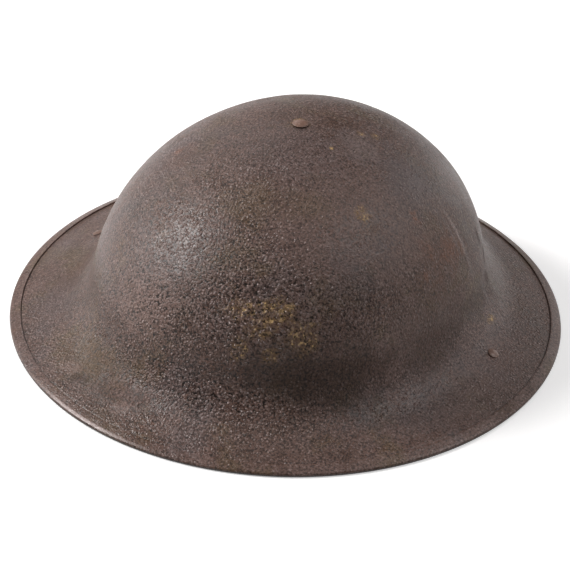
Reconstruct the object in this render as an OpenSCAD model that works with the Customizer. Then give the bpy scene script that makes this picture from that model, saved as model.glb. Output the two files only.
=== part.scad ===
// Broad-brimmed pressed steel helmet with its liner, bails and two-piece chinstrap.
// The origin is at the middle of the plane that the rim stands on, +Z up and +Y to the front.

/* [Shell] */
// Width over the rim band
rim_w = 291; // [284:1:298]
// Length over the rim band
rim_l = 310; // [303:1:317]
// Width of the bowl where its wall turns down
bowl_w = 200; // [194:1:206]
// Length of the bowl where its wall turns down
bowl_l = 240; // [234:1:246]
// Height of the steel crown above the resting plane
crown_z = 111.5; // [106:0.5:117]
// Thickness of the steel
shell_wall = 0.9; // [0.7:0.1:1.2]
// Height of the widest level of the bowl's curve
bowl_level = 22; // [20:0.5:24]
// Angle of the bowl's curve that stays true, from the crown down
dome_sweep = 82; // [78:1:84]
// Height at which the lines of the wall and the brim would meet
foot_z = 16; // [15:0.5:17.5]
// Share of the brim that the curve at the bowl's foot takes
foot_share = 0.45; // [0.35:0.01:0.55]

/* [Rim band] */
// Width of the folded band
band_w = 6.4; // [5:0.1:8]
// Thickness of the band's strip
band_wall = 0.7; // [0.5:0.05:0.9]
// Play between the band and the steel inside it
band_play = 0.05; // [0.03:0.01:0.1]
// Width of the worn flat that the rim stands on
rest_w = 1.2; // [0.8:0.1:1.4]

/* [Crown rivet] */
// Diameter of the crown rivet's head
crown_head_d = 8.4; // [8:0.2:11]
// Height of the crown rivet's head
crown_head_h = 1.5; // [1.2:0.1:2.4]
// Diameter of the crown rivet's shank
crown_shank_d = 4.8; // [4:0.2:5.4]
// Diameter of the washer under the liner
washer_d = 18; // [14:0.5:20]
// Thickness of the washer
washer_t = 1.2; // [0.8:0.1:1.6]
// Diameter of the rivet's upset tail
crown_tail_d = 8.2; // [7:0.2:9]
// Height of the rivet's upset tail
crown_tail_h = 1.6; // [1.2:0.1:2]

/* [Liner] */
// Diameter of the felt pad at the crown
pad_d = 48; // [40:1:52]
// Thickness of the felt pad
pad_t = 4.5; // [3.5:0.1:5]
// Width of the crown straps
tape_w = 25; // [20:1:30]
// Thickness of the crown straps
tape_t = 1.5; // [1:0.1:2]
// Height of the head band's lower edge
head_band_z = 13; // [12.5:0.5:15]
// Height of the head band's upper edge
head_band_top = 50; // [46:0.5:54]
// Thickness of the head band
head_band_t = 3; // [2.4:0.1:3.6]
// Lean of the head band and its buffers towards the crown
liner_lean = 9; // [7:0.5:10]
// Number of rubber buffers
buffer_count = 12; // [8:1:14]
// Diameter of a rubber buffer
buffer_d = 9.5; // [8:0.1:10]
// Bore of a rubber buffer
buffer_bore_d = 5; // [4:0.1:6]
// Length of a rubber buffer
buffer_l = 32; // [26:0.5:32]
// Height of the net's top
net_z = 80; // [74:1:86]
// Thickness of the net's cords
net_t = 1.6; // [1.2:0.1:2.2]
// Distance of the net's edge below the head band's upper edge
net_drop = 4; // [3:0.5:6]
// Width of the net's open top
mouth_w = 28; // [24:1:30]
// Diameter of the drawstring
drawstring_d = 3; // [2:0.1:3.4]

/* [Bails] */
// Distance of a side rivet outside the bowl's wall
side_rivet_out = 17.5; // [16.5:0.25:18.5]
// Diameter of a side rivet's head
side_head_d = 6.2; // [5.6:0.2:8]
// Height of a side rivet's head
side_head_h = 1; // [0.8:0.1:1.6]
// Diameter of a side rivet's shank
side_shank_d = 3.6; // [3:0.1:4]
// Diameter of a side rivet's upset tail
side_tail_d = 5.8; // [5:0.1:6.4]
// Height of a side rivet's upset tail
side_tail_h = 1; // [0.8:0.1:1.2]
// Width of a bracket's strip
bracket_w = 16; // [13:0.5:17]
// Thickness of a bracket's strip
bracket_t = 1; // [0.8:0.1:1.2]
// Length of a bracket from its eye to its free end
bracket_l = 15; // [14:0.5:17]
// Distance from the rivet in to the bracket's eye
eye_reach = 9; // [8:0.25:10]
// Diameter of a bail's wire
bail_d = 3; // [2.6:0.1:3.2]
// Distance between a bail's two long bars
bail_l = 17; // [16:0.5:18]
// Radius of a bail's corners
bail_corner = 3; // [2.5:0.25:3.5]

/* [Chinstraps] */
// Width of the leather
strap_w = 19; // [17:0.5:20]
// Thickness of the leather
strap_t = 2.2; // [1.8:0.1:2.4]
// Length of the short strap between the bail and the buckle
short_strap_l = 75; // [72:1:76]
// Length of the long strap from the bail to its tip
long_strap_l = 150; // [140:1:155]
// Turn of the short strap to one side where it lies
short_turn = 12; // [12:0.5:14]
// Turn of the long strap to the other side where it lies
long_turn = 18; // [18:0.5:20]
// Length of leather turned back round a bar
turn_back = 20; // [18:0.5:22]
// Length of the long strap's pointed tip
strap_tip_l = 9; // [6:0.5:12]
// Distance of a strap rivet from its bar
strap_rivet_x = 13; // [11.5:0.25:14]
// Diameter of a strap rivet's heads
strap_head_d = 7; // [6:0.2:8]
// Height of a strap rivet's heads
strap_head_h = 0.8; // [0.6:0.1:0.9]
// Diameter of a strap rivet's shank
strap_shank_d = 3; // [2.6:0.1:3.4]

/* [Slide buckle] */
// Diameter of the buckle's wire
buckle_d = 2; // [1.8:0.1:2.2]
// Distance between the buckle's outer bars
buckle_l = 20; // [19:0.5:21]
// Play at each side of the leather in the buckle and the bails
side_play = 1.5; // [1:0.1:2]

/* [Fits] */
// Play all round a bar that turns
turn_play = 0.05; // [0.03:0.01:0.1]
// Gap between pieces that bear on each other
seat_gap = 0.3; // [0.2:0.05:0.4]
// Play round a rivet's shank in its hole
shank_play = 0.05; // [0.03:0.01:0.1]

/* [Hidden] */
$fn = 48;
buffer_names = [for (i = [1:buffer_count]) str("rubber_buffer_", i)];

// Levels and half axes of the steel
bowl_x = bowl_w / 2;
bowl_y = bowl_l / 2;
bowl_h = crown_z - bowl_level;
foot_rise = bowl_level + bowl_h * cos(dome_sweep) - foot_z;
foot_lean = cos(dome_sweep) / sin(dome_sweep) / bowl_h;
foot_x = bowl_x * (sin(dome_sweep) + foot_rise * foot_lean);
foot_y = bowl_y * (sin(dome_sweep) + foot_rise * foot_lean);
fold_r = shell_wall / 2 + band_play + band_wall;
fold_z = sqrt(fold_r * fold_r - rest_w * rest_w / 4);
fold_x = rim_w / 2 - fold_r;
fold_y = rim_l / 2 - fold_r;

// Reach of a hole's cutter past what it cuts
cut = 4;

// Mesh counts
around = 80;
dome_rows = 13;
foot_rows = 6;
brim_rows = 3;
liner_around = 48;
net_rows = 8;
pad_around = 36;
pad_rows = 3;
tape_steps = 20;
cord_sides = 10;
bend_steps = 6;

// Small vector tools
function unit(v) = v / norm(v);
function bezier(a, b, c, u) = (1 - u) * (1 - u) * a + 2 * u * (1 - u) * b + u * u * c;
function on_ellipse(x, y, t) = [x * cos(t), y * sin(t)];
function raised(p, z) = [p.x, p.y, z];
function plan_normal(x, y, t) = unit([cos(t) / x, sin(t) / y]);

// Outer surface of the steel: turn t round the helmet, s from 0 at the crown to 3 at the edge
function brim_fall(t) =
    atan((foot_z - fold_z) / norm(on_ellipse(fold_x, fold_y, t) - on_ellipse(foot_x, foot_y, t)));
function brim_out(t) = unit(on_ellipse(fold_x, fold_y, t) - on_ellipse(foot_x, foot_y, t));
function from_fold(t, h, z) = raised(on_ellipse(fold_x, fold_y, t) + brim_out(t) * h, fold_z + z);
function on_dome(t, f) =
    raised(on_ellipse(bowl_x * sin(f), bowl_y * sin(f), t), bowl_level + bowl_h * cos(f));
function edge_point(t) =
    from_fold(t, sin(brim_fall(t)) * shell_wall / 2, cos(brim_fall(t)) * shell_wall / 2);
function foot_point(t) = raised(on_ellipse(foot_x, foot_y, t), foot_z);
function foot_end(t) = foot_point(t) * (1 - foot_share) + edge_point(t) * foot_share;
function steel(t, s) =
    s <= 1 ? on_dome(t, s * dome_sweep)
    : s <= 2 ? bezier(on_dome(t, dome_sweep), foot_point(t), foot_end(t), s - 1)
    : foot_end(t) * (3 - s) + edge_point(t) * (s - 2);
function steel_normal(t, s, d = 0.02) =
    let (low = min(max(s, 2 * d), 3 - d))
    unit(cross(steel(t, low + d) - steel(t, low - d), steel(t + 1, low) - steel(t - 1, low)));
function under_steel(t, s, depth) = steel(t, s) - depth * steel_normal(t, s);

// Closed meshes from rings of points, each ring listed from the outside top round to the inside
function ring_faces(n, a, b) =
    [for (k = [0:n - 1]) let (m = (k + 1) % n) each [[a + k, a + m, b + m], [a + k, b + m, b + k]]];
module closed_band(rings) {
    n = len(rings[0]);
    count = len(rings);
    polyhedron(
        points = [for (ring = rings) each ring],
        faces = [for (i = [0:count - 1]) each ring_faces(n, i * n, ((i + 1) % count) * n)],
        convexity = 6);
}
module capped_loft(first, rings, last) {
    n = len(rings[0]);
    count = len(rings);
    end = count * n;
    polyhedron(
        points = concat([for (ring = rings) each ring], [first, last]),
        faces = concat(
            [for (k = [0:n - 1]) [end, (k + 1) % n, k]],
            [for (i = [0:count - 2]) each ring_faces(n, i * n, (i + 1) * n)],
            [for (k = [0:n - 1]) [end - n + k, end - n + (k + 1) % n, end + 1]]),
        convexity = 6);
}

// Shell: one pressing, with holes for the crown rivet and the two side rivets
rows = concat(
    [for (i = [1:dome_rows]) i / dome_rows],
    [for (i = [1:foot_rows]) 1 + i / foot_rows],
    [for (i = [1:brim_rows]) 2 + i / brim_rows]);
turns = [for (k = [0:around - 1]) 360 * k / around];
module shell() color("#5d534c") {
    last = len(rows) - 1;
    difference() {
        capped_loft(
            [0, 0, crown_z],
            concat(
                [for (s = rows) [for (t = turns) steel(t, s)]],
                [for (i = [last:-1:0]) [for (t = turns) under_steel(t, rows[i], shell_wall)]]),
            [0, 0, crown_z - shell_wall]);
        translate([0, 0, crown_z])
            cylinder(h = 2 * cut, d = crown_shank_d + 2 * shank_play, center = true);
        for (side = [0, 1]) mirror([side, 0, 0]) at_side_rivet()
            cylinder(h = 2 * cut, d = side_shank_d + 2 * shank_play, center = true);
    }
}

// Rim band: a strip folded over the edge, worn flat where it stands
function slanted(p, b) = [p.x * cos(b) + p.y * sin(b), p.y * cos(b) - p.x * sin(b)];
band_leg = band_w - fold_r;
fold_points = 8;
rest_angle = asin(rest_w / 2 / fold_r);
inner_r = shell_wall / 2 + band_play;
function band_section(b) = concat(
    [slanted([-band_leg, fold_r - band_wall / 3], b), slanted([band_wall / 2 - band_leg, fold_r], b)],
    [for (i = [0:fold_points - 1])
        let (a = 90 - b - i * (180 - b - rest_angle) / (fold_points - 1)) fold_r * [cos(a), sin(a)]],
    [[-rest_w / 2, -fold_z]],
    [slanted([-band_leg, -fold_r], b), slanted([-band_leg, -inner_r], b)],
    [for (a = [-90:45:90]) slanted(inner_r * [cos(a), sin(a)], b)],
    [slanted([-band_leg, inner_r], b)]);
module rim_band() color("#544b45") {
    sections = [for (t = turns) band_section(brim_fall(t))];
    closed_band([for (i = [0:len(sections[0]) - 1])
        [for (k = [0:around - 1]) from_fold(turns[k], sections[k][i].x, sections[k][i].y)]]);
}

// Domed rivet along +Z: the head stands on 0, the grip is below it, then the upset tail
head_points = 7;
module domed_rivet(head_d, head_h, shank_d, grip, tail_d, tail_h) {
    edge = head_h / 4;
    rise = head_h - edge;
    cap_r = (head_d * head_d / 4 + rise * rise) / (2 * rise);
    sweep = asin(head_d / 2 / cap_r);
    rotate_extrude() polygon(concat(
        [[0, -grip - tail_h], [tail_d / 3, -grip - tail_h], [tail_d / 2, -grip - tail_h / 2]],
        [[tail_d / 2, -grip], [shank_d / 2, -grip], [shank_d / 2, 0], [head_d / 2, 0]],
        [for (i = [0:head_points - 1]) let (a = sweep * (1 - i / (head_points - 1)))
            [cap_r * sin(a), head_h - cap_r * (1 - cos(a))]]));
}

// Liner's lean: the buffers touch the bowl at touch_z, and the band lies inside them
buffer_z = (head_band_z + head_band_top) / 2;
touch_z = buffer_z + buffer_l / 2 * cos(liner_lean) + buffer_d / 2 * sin(liner_lean);
touch_share = sqrt(1 - pow((touch_z - bowl_level) / (bowl_h - shell_wall), 2));
buffer_space = (buffer_d + 2 * seat_gap) / cos(liner_lean);
function band_x(z) = (bowl_x - shell_wall) * touch_share - buffer_space - (z - touch_z) * tan(liner_lean);
function band_y(z) = (bowl_y - shell_wall) * touch_share - buffer_space - (z - touch_z) * tan(liner_lean);
band_inset = head_band_t / cos(liner_lean);
function oval(x, y, z, n) = [for (k = [0:n - 1]) raised(on_ellipse(x, y, 360 * k / n), z)];

// Crown: felt pad, crossed straps, washer and rivet, one under the other
tape_x = band_x(head_band_top) - (head_band_t - tape_t) / 2;
tape_y = band_y(head_band_top) - (head_band_t - tape_t) / 2;
tape_z = head_band_top + seat_gap;
tape_h = crown_z - shell_wall - pad_t - 2 * seat_gap - tape_z;
tape_step = tape_t + seat_gap;
function dome_height(x, y, half_x, half_y, h) = h * sqrt(1 - pow(x / half_x, 2) - pow(y / half_y, 2));
function tape_top(x, y) = tape_z + dome_height(x, y, tape_x, tape_y, tape_h);
function under_bowl(x, y, d) = bowl_level + dome_height(x, y, bowl_x - d, bowl_y - d, bowl_h - d);
washer_top = tape_z + dome_height(washer_d / 2, 0, tape_x - tape_t, tape_y - tape_t, tape_h - 2 * tape_step);
tail_top = washer_top - washer_t - shank_play;
head_seat = shank_play;

pad_drop = shell_wall + seat_gap;
function pad_top_point(r, t) = [r * cos(t), r * sin(t), under_bowl(r * cos(t), r * sin(t), pad_drop)];
function pad_low_point(r, t) = [r * cos(t), r * sin(t), tape_top(r * cos(t), r * sin(t)) + seat_gap];
module crown_pad() color("#8d8672") {
    circle_turns = [for (k = [0:pad_around - 1]) 360 * k / pad_around];
    levels = [for (i = [1:pad_rows]) i * pad_d / 2 / pad_rows];
    difference() {
        capped_loft(
            pad_top_point(0, 0),
            concat(
                [for (r = levels) [for (t = circle_turns) pad_top_point(r, t)]],
                [for (i = [pad_rows - 1:-1:0]) [for (t = circle_turns) pad_low_point(levels[i], t)]]),
            pad_low_point(0, 0));
        cylinder(h = crown_z, d = crown_shank_d + 2 * shank_play);
    }
}

module tape(along, across, h) {
    half = tape_w / 2;
    function share(y, half_y) = sqrt(1 - pow(y / half_y, 2));
    function point(g, y, d) =
        [(along - d) * share(y, across - d) * cos(g), y, tape_z + (h - d) * share(y, across - d) * sin(g)];
    function section(g) = [point(g, -half, 0), point(g, 0, 0), point(g, half, 0),
        point(g, half, tape_t), point(g, 0, tape_t), point(g, -half, tape_t)];
    last = 6 * tape_steps;
    polyhedron(
        points = [for (i = [0:tape_steps]) each section(180 * i / tape_steps)],
        faces = concat(
            [[0, 5, 4], [0, 4, 1], [1, 4, 3], [1, 3, 2]],
            [for (i = [0:tape_steps - 1]) each ring_faces(6, 6 * i, 6 * i + 6)],
            [[last, last + 4, last + 5], [last, last + 1, last + 4],
                [last + 1, last + 3, last + 4], [last + 1, last + 2, last + 3]]),
        convexity = 4);
}
module crown_straps() color("#b3a583") difference() {
    union() {
        tape(tape_x, tape_y, tape_h);
        rotate([0, 0, 90])
            tape(tape_y, tape_x, tape_h - tape_step);
    }
    translate([0, 0, tape_z])
        cylinder(h = crown_z, d = crown_shank_d + 2 * shank_play);
}

module crown_washer() color("#6f6a63") translate([0, 0, washer_top - washer_t]) difference() {
    cylinder(h = washer_t, d = washer_d);
    cylinder(h = 2 * cut, d = crown_shank_d + 2 * shank_play, center = true);
}

module crown_rivet() color("#66594c") translate([0, 0, crown_z + head_seat])
    domed_rivet(crown_head_d, crown_head_h, crown_shank_d, crown_z + head_seat - tail_top,
        crown_tail_d, crown_tail_h);

// Head band and its buffers
module head_band() color("#2b2a29") closed_band([
    for (p = [[head_band_top, 0], [head_band_z, 0], [head_band_z, band_inset], [head_band_top, band_inset]])
        oval(band_x(p[0]) - p[1], band_y(p[0]) - p[1], p[0], liner_around)]);

module rubber_buffer(i) color("#4a2b24") {
    t = (i - 0.5) * 360 / buffer_count;
    out = plan_normal(band_x(buffer_z), band_y(buffer_z), t);
    seat = on_ellipse(band_x(buffer_z), band_y(buffer_z), t) + out * buffer_space / 2;
    translate([seat.x, seat.y, buffer_z])
        rotate([0, 0, atan2(out.y, out.x)])
        rotate([0, -liner_lean, 0])
        difference() {
            cylinder(h = buffer_l, d = buffer_d, center = true);
            cylinder(h = buffer_l + 2 * cut, d = buffer_bore_d, center = true);
        }
}

// Net and drawstring
net_edge_z = head_band_top - net_drop;
net_x = band_x(net_edge_z) - band_inset - seat_gap;
net_y = band_y(net_edge_z) - band_inset - seat_gap;
net_rise = net_z - net_edge_z;
mouth_share = mouth_w / 2 / net_x;
function net_ring(u, d) =
    let (first = asin(mouth_w / 2 / (net_x - d)), f = first + (90 - first) * u)
    oval((net_x - d) * sin(f), (net_y - d) * sin(f), net_edge_z + (net_rise - d) * cos(f), liner_around);

module net() color("#9a8f74") closed_band(concat(
    [for (i = [0:net_rows]) net_ring(i / net_rows, 0)],
    [for (i = [net_rows:-1:0]) net_ring(i / net_rows, net_t)]));

module drawstring() color("#a89b7d") {
    r = drawstring_d / 2;
    x = mouth_w / 2 - r - seat_gap;
    y = (net_y - net_t) * mouth_share - r - seat_gap;
    z = net_edge_z + net_rise * sqrt(1 - mouth_share * mouth_share) - net_t / 2;
    closed_band([for (i = [0:cord_sides - 1]) let (a = 90 - 360 * i / cord_sides)
        oval(x + r * cos(a), y + r * cos(a), z + r * sin(a), liner_around)]);
}

// Brackets and side rivets, each set square to the brim at its rivet
side_rivet_x = bowl_x + side_rivet_out;
rivet_curve = let (
        a = on_dome(0, dome_sweep).x,
        b = foot_x,
        c = foot_end(0).x,
        k2 = a - 2 * b + c,
        k1 = 2 * (b - a))
    (sqrt(k1 * k1 - 4 * k2 * (a - side_rivet_x)) - k1) / (2 * k2);
rivet_point = steel(0, 1 + rivet_curve);
rivet_normal = steel_normal(0, 1 + rivet_curve);
rivet_fall = atan2(rivet_normal.x, rivet_normal.z);
bracket_top = -shell_wall - seat_gap / 2;
eye_r = bail_d / 2 + turn_play;
eye_z = bracket_top - bracket_t - eye_r;
side_seat = seat_gap;
module at_side_rivet() translate(rivet_point) rotate([0, rivet_fall, 0]) children();

module right_bracket() color("#4f4842") at_side_rivet() difference() {
    rotate([90, 0, 0]) linear_extrude(bracket_w, center = true) union() {
        translate([-eye_reach, bracket_top - bracket_t])
            square([bracket_l, bracket_t]);
        translate([-eye_reach, eye_z])
            circle(r = eye_r + bracket_t);
    }
    translate([-eye_reach, 0, eye_z]) rotate([90, 0, 0])
        cylinder(h = bracket_w + 2 * cut, r = eye_r, center = true);
    cylinder(h = 2 * cut, d = side_shank_d + 2 * shank_play, center = true);
}
module left_bracket() mirror([1, 0, 0]) right_bracket();
module right_bracket_rivet() color("#5a4d43") at_side_rivet() translate([0, 0, side_seat])
    domed_rivet(side_head_d, side_head_h, side_shank_d,
        side_seat - bracket_top + bracket_t + shank_play, side_tail_d, side_tail_h);
module left_bracket_rivet() mirror([1, 0, 0]) right_bracket_rivet();

// Bails: wire loops that hang in the brackets and lie tilted on the straps at rest
pivot_x = rivet_point.x - eye_reach * cos(rivet_fall) + eye_z * sin(rivet_fall);
pivot_z = rivet_point.z + eye_reach * sin(rivet_fall) + eye_z * cos(rivet_fall);
strap_floor = strap_head_h + seat_gap;
loop_z = strap_floor + strap_t + eye_r;
bail_tilt = asin((pivot_z - loop_z) / bail_l);
loop_x = pivot_x - bail_l * cos(bail_tilt);
bail_w = strap_w + 2 * max(side_play + bail_d / 2, bail_corner + turn_play);

module rod(length, d) rotate([90, 0, 0]) cylinder(h = length, d = d, center = true);
module wire_loop(length, width, d, corner) {
    for (x = [0, length]) translate([x, 0, 0])
        rod(width - 2 * corner, d);
    for (side = [-1, 1]) translate([length / 2, side * width / 2, 0]) rotate([0, 0, 90])
        rod(length - 2 * corner, d);
    for (x = [0, 1], y = [0, 1]) translate([length / 2, 0, 0]) mirror([x, 0, 0]) mirror([0, y, 0])
        translate([length / 2 - corner, width / 2 - corner, 0])
        rotate_extrude(angle = 90) translate([corner, 0]) circle(d = d);
}
module left_bail() color("#4c463f") translate([-pivot_x, 0, pivot_z]) rotate([0, bail_tilt, 0])
    wire_loop(bail_l, bail_w, bail_d, bail_corner);
module right_bail() mirror([1, 0, 0]) left_bail();

// Straps: a loop of leather riveted round a bar, and a flat run that turns aside where it lies
// The turned-back end comes down at loop_slope, and the gap beside the bar starts inside the bar's bore.
// The flat run starts run_lap early and bends over bend_l.
loop_slope = 40;
gap_start = 0.85;
bend_l = 30;
run_lap = 4;
module strap_loop(bar_d) {
    r = bar_d / 2 + turn_play;
    outer = r + strap_t;
    lap = strap_t - r;
    start = outer * sin(loop_slope) + (outer * cos(loop_slope) - lap) / tan(loop_slope);
    meet = r * sin(loop_slope) + r * (cos(loop_slope) + 1) / tan(loop_slope);
    difference() {
        rotate([90, 0, 0]) linear_extrude(strap_w, center = true) union() {
            circle(r = outer);
            polygon([[0, -outer], [turn_back, -outer], [turn_back, lap], [start, lap],
                outer * [sin(loop_slope), cos(loop_slope)], [0, 0]]);
        }
        rod(strap_w + 2 * cut, 2 * r);
        rotate([90, 0, 0]) linear_extrude(strap_w + 2 * cut, center = true)
            polygon([[0, -r], [meet, -r], gap_start * r * [sin(loop_slope), cos(loop_slope)], [0, 0]]);
        translate([strap_rivet_x, 0, 0])
            cylinder(h = 2 * (outer + cut), d = strap_shank_d + 2 * shank_play, center = true);
    }
}
function run_angle(s, turn) = turn * min(max((s - turn_back) / bend_l, 0), 1);
function run_point(s, turn) =
    let (radius = bend_l / turn * 180 / PI, a = run_angle(s, turn), on = max(s - turn_back - bend_l, 0))
    [min(s, turn_back) + radius * sin(a) + on * cos(a), radius * (1 - cos(a)) + on * sin(a)];
function run_side(s, turn, side) =
    run_point(s, turn) + side * strap_w / 2 * [-sin(run_angle(s, turn)), cos(run_angle(s, turn))];
module flat_run(last, turn, tip) {
    bend = [for (i = [0:bend_steps]) turn_back + i * bend_l / bend_steps];
    stops = concat([turn_back - run_lap], bend, [last]);
    low = -eye_r - strap_t;
    translate([0, 0, low]) linear_extrude(strap_t) polygon(concat(
        [for (s = stops) run_side(s, turn, 1)],
        tip > 0 ? [run_point(last + tip, turn)] : [],
        [for (i = [len(stops) - 1:-1:0]) run_side(stops[i], turn, -1)]));
}
buckle_bar_z = (buckle_d - bail_d) / 2;
module at_buckle() translate(raised(run_point(short_strap_l, short_turn), buckle_bar_z))
    rotate([0, 0, short_turn]) children();
module at_left_loop() translate([-loop_x, 0, loop_z]) children();
module at_right_loop() translate([loop_x, 0, loop_z]) mirror([1, 0, 0]) children();

module left_strap() color("#6b4a2f") at_left_loop() {
    strap_loop(bail_d);
    flat_run(short_strap_l - turn_back + run_lap, short_turn, 0);
    at_buckle() rotate([0, 0, 180])
        strap_loop(buckle_d);
}
module right_strap() color("#6b4a2f") at_right_loop() {
    strap_loop(bail_d);
    flat_run(long_strap_l - strap_tip_l, -long_turn, strap_tip_l);
}

// Strap rivets: flat heads on both faces of the doubled leather
module strap_rivet(bar_d) {
    low = -bar_d / 2 - turn_play - strap_t;
    translate([strap_rivet_x, 0, 0]) {
        translate([0, 0, low - strap_head_h])
            cylinder(h = 2 * strap_t + 2 * strap_head_h, d = strap_shank_d);
        for (z = [low - strap_head_h, low + 2 * strap_t]) translate([0, 0, z])
            cylinder(h = strap_head_h, d = strap_head_d);
    }
}
module left_strap_rivet() color("#8c7a52") at_left_loop() strap_rivet(bail_d);
module right_strap_rivet() color("#8c7a52") at_right_loop() strap_rivet(bail_d);
module buckle_rivet() color("#8c7a52") at_left_loop() at_buckle() rotate([0, 0, 180])
    strap_rivet(buckle_d);

// Slide buckle: a three-bar frame that hangs from the short strap down to the resting plane
buckle_w = strap_w + 2 * side_play + buckle_d;
buckle_z = loop_z + buckle_bar_z;
buckle_droop = asin((buckle_z - buckle_d / 2 - seat_gap) / buckle_l);
module slide_buckle() color("#7d7768") at_left_loop() at_buckle() rotate([0, buckle_droop, 0]) {
    wire_loop(buckle_l, buckle_w, buckle_d, buckle_d);
    translate([buckle_l / 2, 0, 0])
        rod(buckle_w, buckle_d);
}

shell();
rim_band();
crown_rivet();
crown_washer();
crown_pad();
crown_straps();
head_band();
for (i = [1:buffer_count])
    rubber_buffer(i);
net();
drawstring();
left_bracket();
right_bracket();
left_bracket_rivet();
right_bracket_rivet();
left_bail();
right_bail();
left_strap();
right_strap();
left_strap_rivet();
right_strap_rivet();
buckle_rivet();
slide_buckle();
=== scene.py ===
from math import asin, atan, cos, hypot, pi, radians, sin, sqrt, tan

import bpy
from mathutils import Matrix, Vector, noise


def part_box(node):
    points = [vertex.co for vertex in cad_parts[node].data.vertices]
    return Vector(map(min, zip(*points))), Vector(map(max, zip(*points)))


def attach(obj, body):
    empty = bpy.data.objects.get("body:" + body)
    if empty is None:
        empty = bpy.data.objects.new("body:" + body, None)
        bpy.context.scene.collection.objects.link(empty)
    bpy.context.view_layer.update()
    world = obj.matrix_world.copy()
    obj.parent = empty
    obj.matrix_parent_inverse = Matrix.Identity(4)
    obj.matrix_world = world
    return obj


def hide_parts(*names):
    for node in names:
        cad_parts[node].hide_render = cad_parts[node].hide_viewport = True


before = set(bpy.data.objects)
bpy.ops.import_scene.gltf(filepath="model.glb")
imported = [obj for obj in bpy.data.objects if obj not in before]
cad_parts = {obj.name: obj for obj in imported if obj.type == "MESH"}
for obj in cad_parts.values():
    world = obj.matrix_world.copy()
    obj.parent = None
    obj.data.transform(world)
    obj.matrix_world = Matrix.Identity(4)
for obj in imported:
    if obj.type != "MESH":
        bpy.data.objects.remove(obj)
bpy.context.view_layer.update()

# Pressed steel helmet: sand-textured shell, folded rim band, liner, bails and chinstrap.
# Metres, +Z up, +Y to the front, the rim stands on z = 0.
mm = 0.001
scene = bpy.context.scene
scene.view_settings.view_transform = "Standard"


# Camera

cameraSetup = {
    "turn": 24.07,          # degrees round from the back end of the helmet
    "rise": 31.37,          # degrees above the horizon
    "roll": 3.87,           # degrees
    "distance": 1.2,
    "lens": 142,
    "sensor": 36,
    "aimAside": -0.0023,
    "aimHeight": 0.01467,
}


def axesAt(axes, place):
    # a place with its own three axes
    matrix = Matrix(axes).transposed().to_4x4()
    matrix.translation = place
    return matrix


def makeCamera(setup):
    turn, rise, roll = (radians(setup[key]) for key in ("turn", "rise", "roll"))
    back = Vector((sin(turn) * cos(rise), -cos(turn) * cos(rise), sin(rise)))
    level = Vector((cos(turn), sin(turn), 0))
    upright = back.cross(level)
    right = level * cos(roll) + upright * sin(roll)
    up = upright * cos(roll) - level * sin(roll)
    aim = level * setup["aimAside"] + Vector((0, 0, setup["aimHeight"]))
    bpy.ops.object.camera_add()
    camera = bpy.context.object
    camera.name = "camera"
    camera.matrix_world = axesAt((right, up, back), aim + back * setup["distance"])
    camera.data.sensor_width = setup["sensor"]
    camera.data.lens = setup["lens"]
    camera.data.clip_start = 0.05
    scene.camera = camera


makeCamera(cameraSetup)
print("camera placed")


# Working steps that the pieces share

def limit(value):
    return min(1, max(0, value))


def makeActive(piece):
    # or nothing, in object mode
    if bpy.context.object and bpy.context.object.mode != "OBJECT":
        bpy.ops.object.mode_set(mode="OBJECT")
    bpy.ops.object.select_all(action="DESELECT")
    if piece:
        piece.select_set(True)
        bpy.context.view_layer.objects.active = piece


def addObject(name, operator, **settings):
    makeActive(None)
    operator(**settings)
    bpy.context.object.name = name
    return bpy.context.object


def editAll(piece):
    makeActive(piece)
    bpy.ops.object.mode_set(mode="EDIT")
    bpy.ops.mesh.select_all(action="SELECT")


def addModifier(piece, kind, **settings):
    modifier = piece.modifiers.new(kind.lower(), kind)
    for key, value in settings.items():
        setattr(modifier, key, value)
    makeActive(piece)
    bpy.ops.object.modifier_apply(modifier=modifier.name)


def easeEdges(piece, width, angle, segments=2):
    addModifier(piece, "BEVEL", width=width, segments=segments, limit_method="ANGLE", angle_limit=radians(angle))


def smooth(piece, angle=None):
    makeActive(piece)
    if angle is None:
        bpy.ops.object.shade_smooth()
    else:
        bpy.ops.object.shade_smooth_by_angle(angle=radians(angle))


def mendFaces(piece, merge=None):
    # closes a seam where a distance is given, and turns every face outward
    editAll(piece)
    if merge:
        bpy.ops.mesh.remove_doubles(threshold=merge)
    bpy.ops.mesh.normals_make_consistent(inside=False)
    bpy.ops.object.mode_set(mode="OBJECT")


def loftRings(name, rings, around, capped=False):
    # each ring is (half width, half length, height), and the first one may be capped by a fan
    piece = addObject(name, bpy.ops.mesh.primitive_circle_add, vertices=around, radius=1,
                      fill_type="TRIFAN" if capped else "NOTHING")
    editAll(piece)
    bpy.ops.transform.resize(value=(rings[0][0], rings[0][1], 1), center_override=(0, 0, 0))
    bpy.ops.transform.translate(value=(0, 0, rings[0][2]))
    if capped:
        bpy.ops.mesh.select_all(action="DESELECT")
        bpy.ops.mesh.select_non_manifold()
    for last, ring in zip(rings, rings[1:]):
        bpy.ops.mesh.extrude_region_move(TRANSFORM_OT_translate={"value": (0, 0, ring[2] - last[2])})
        bpy.ops.transform.resize(value=(ring[0] / last[0], ring[1] / last[1], 1), center_override=(0, 0, 0))
    mendFaces(piece)
    return piece


def faceUp(piece, isUp):
    # turns every face over when the faces that isUp picks look down
    if sum(face.normal.z for face in piece.data.polygons if isUp(face.center)) < 0:
        editAll(piece)
        bpy.ops.mesh.flip_normals()
        bpy.ops.object.mode_set(mode="OBJECT")


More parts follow.
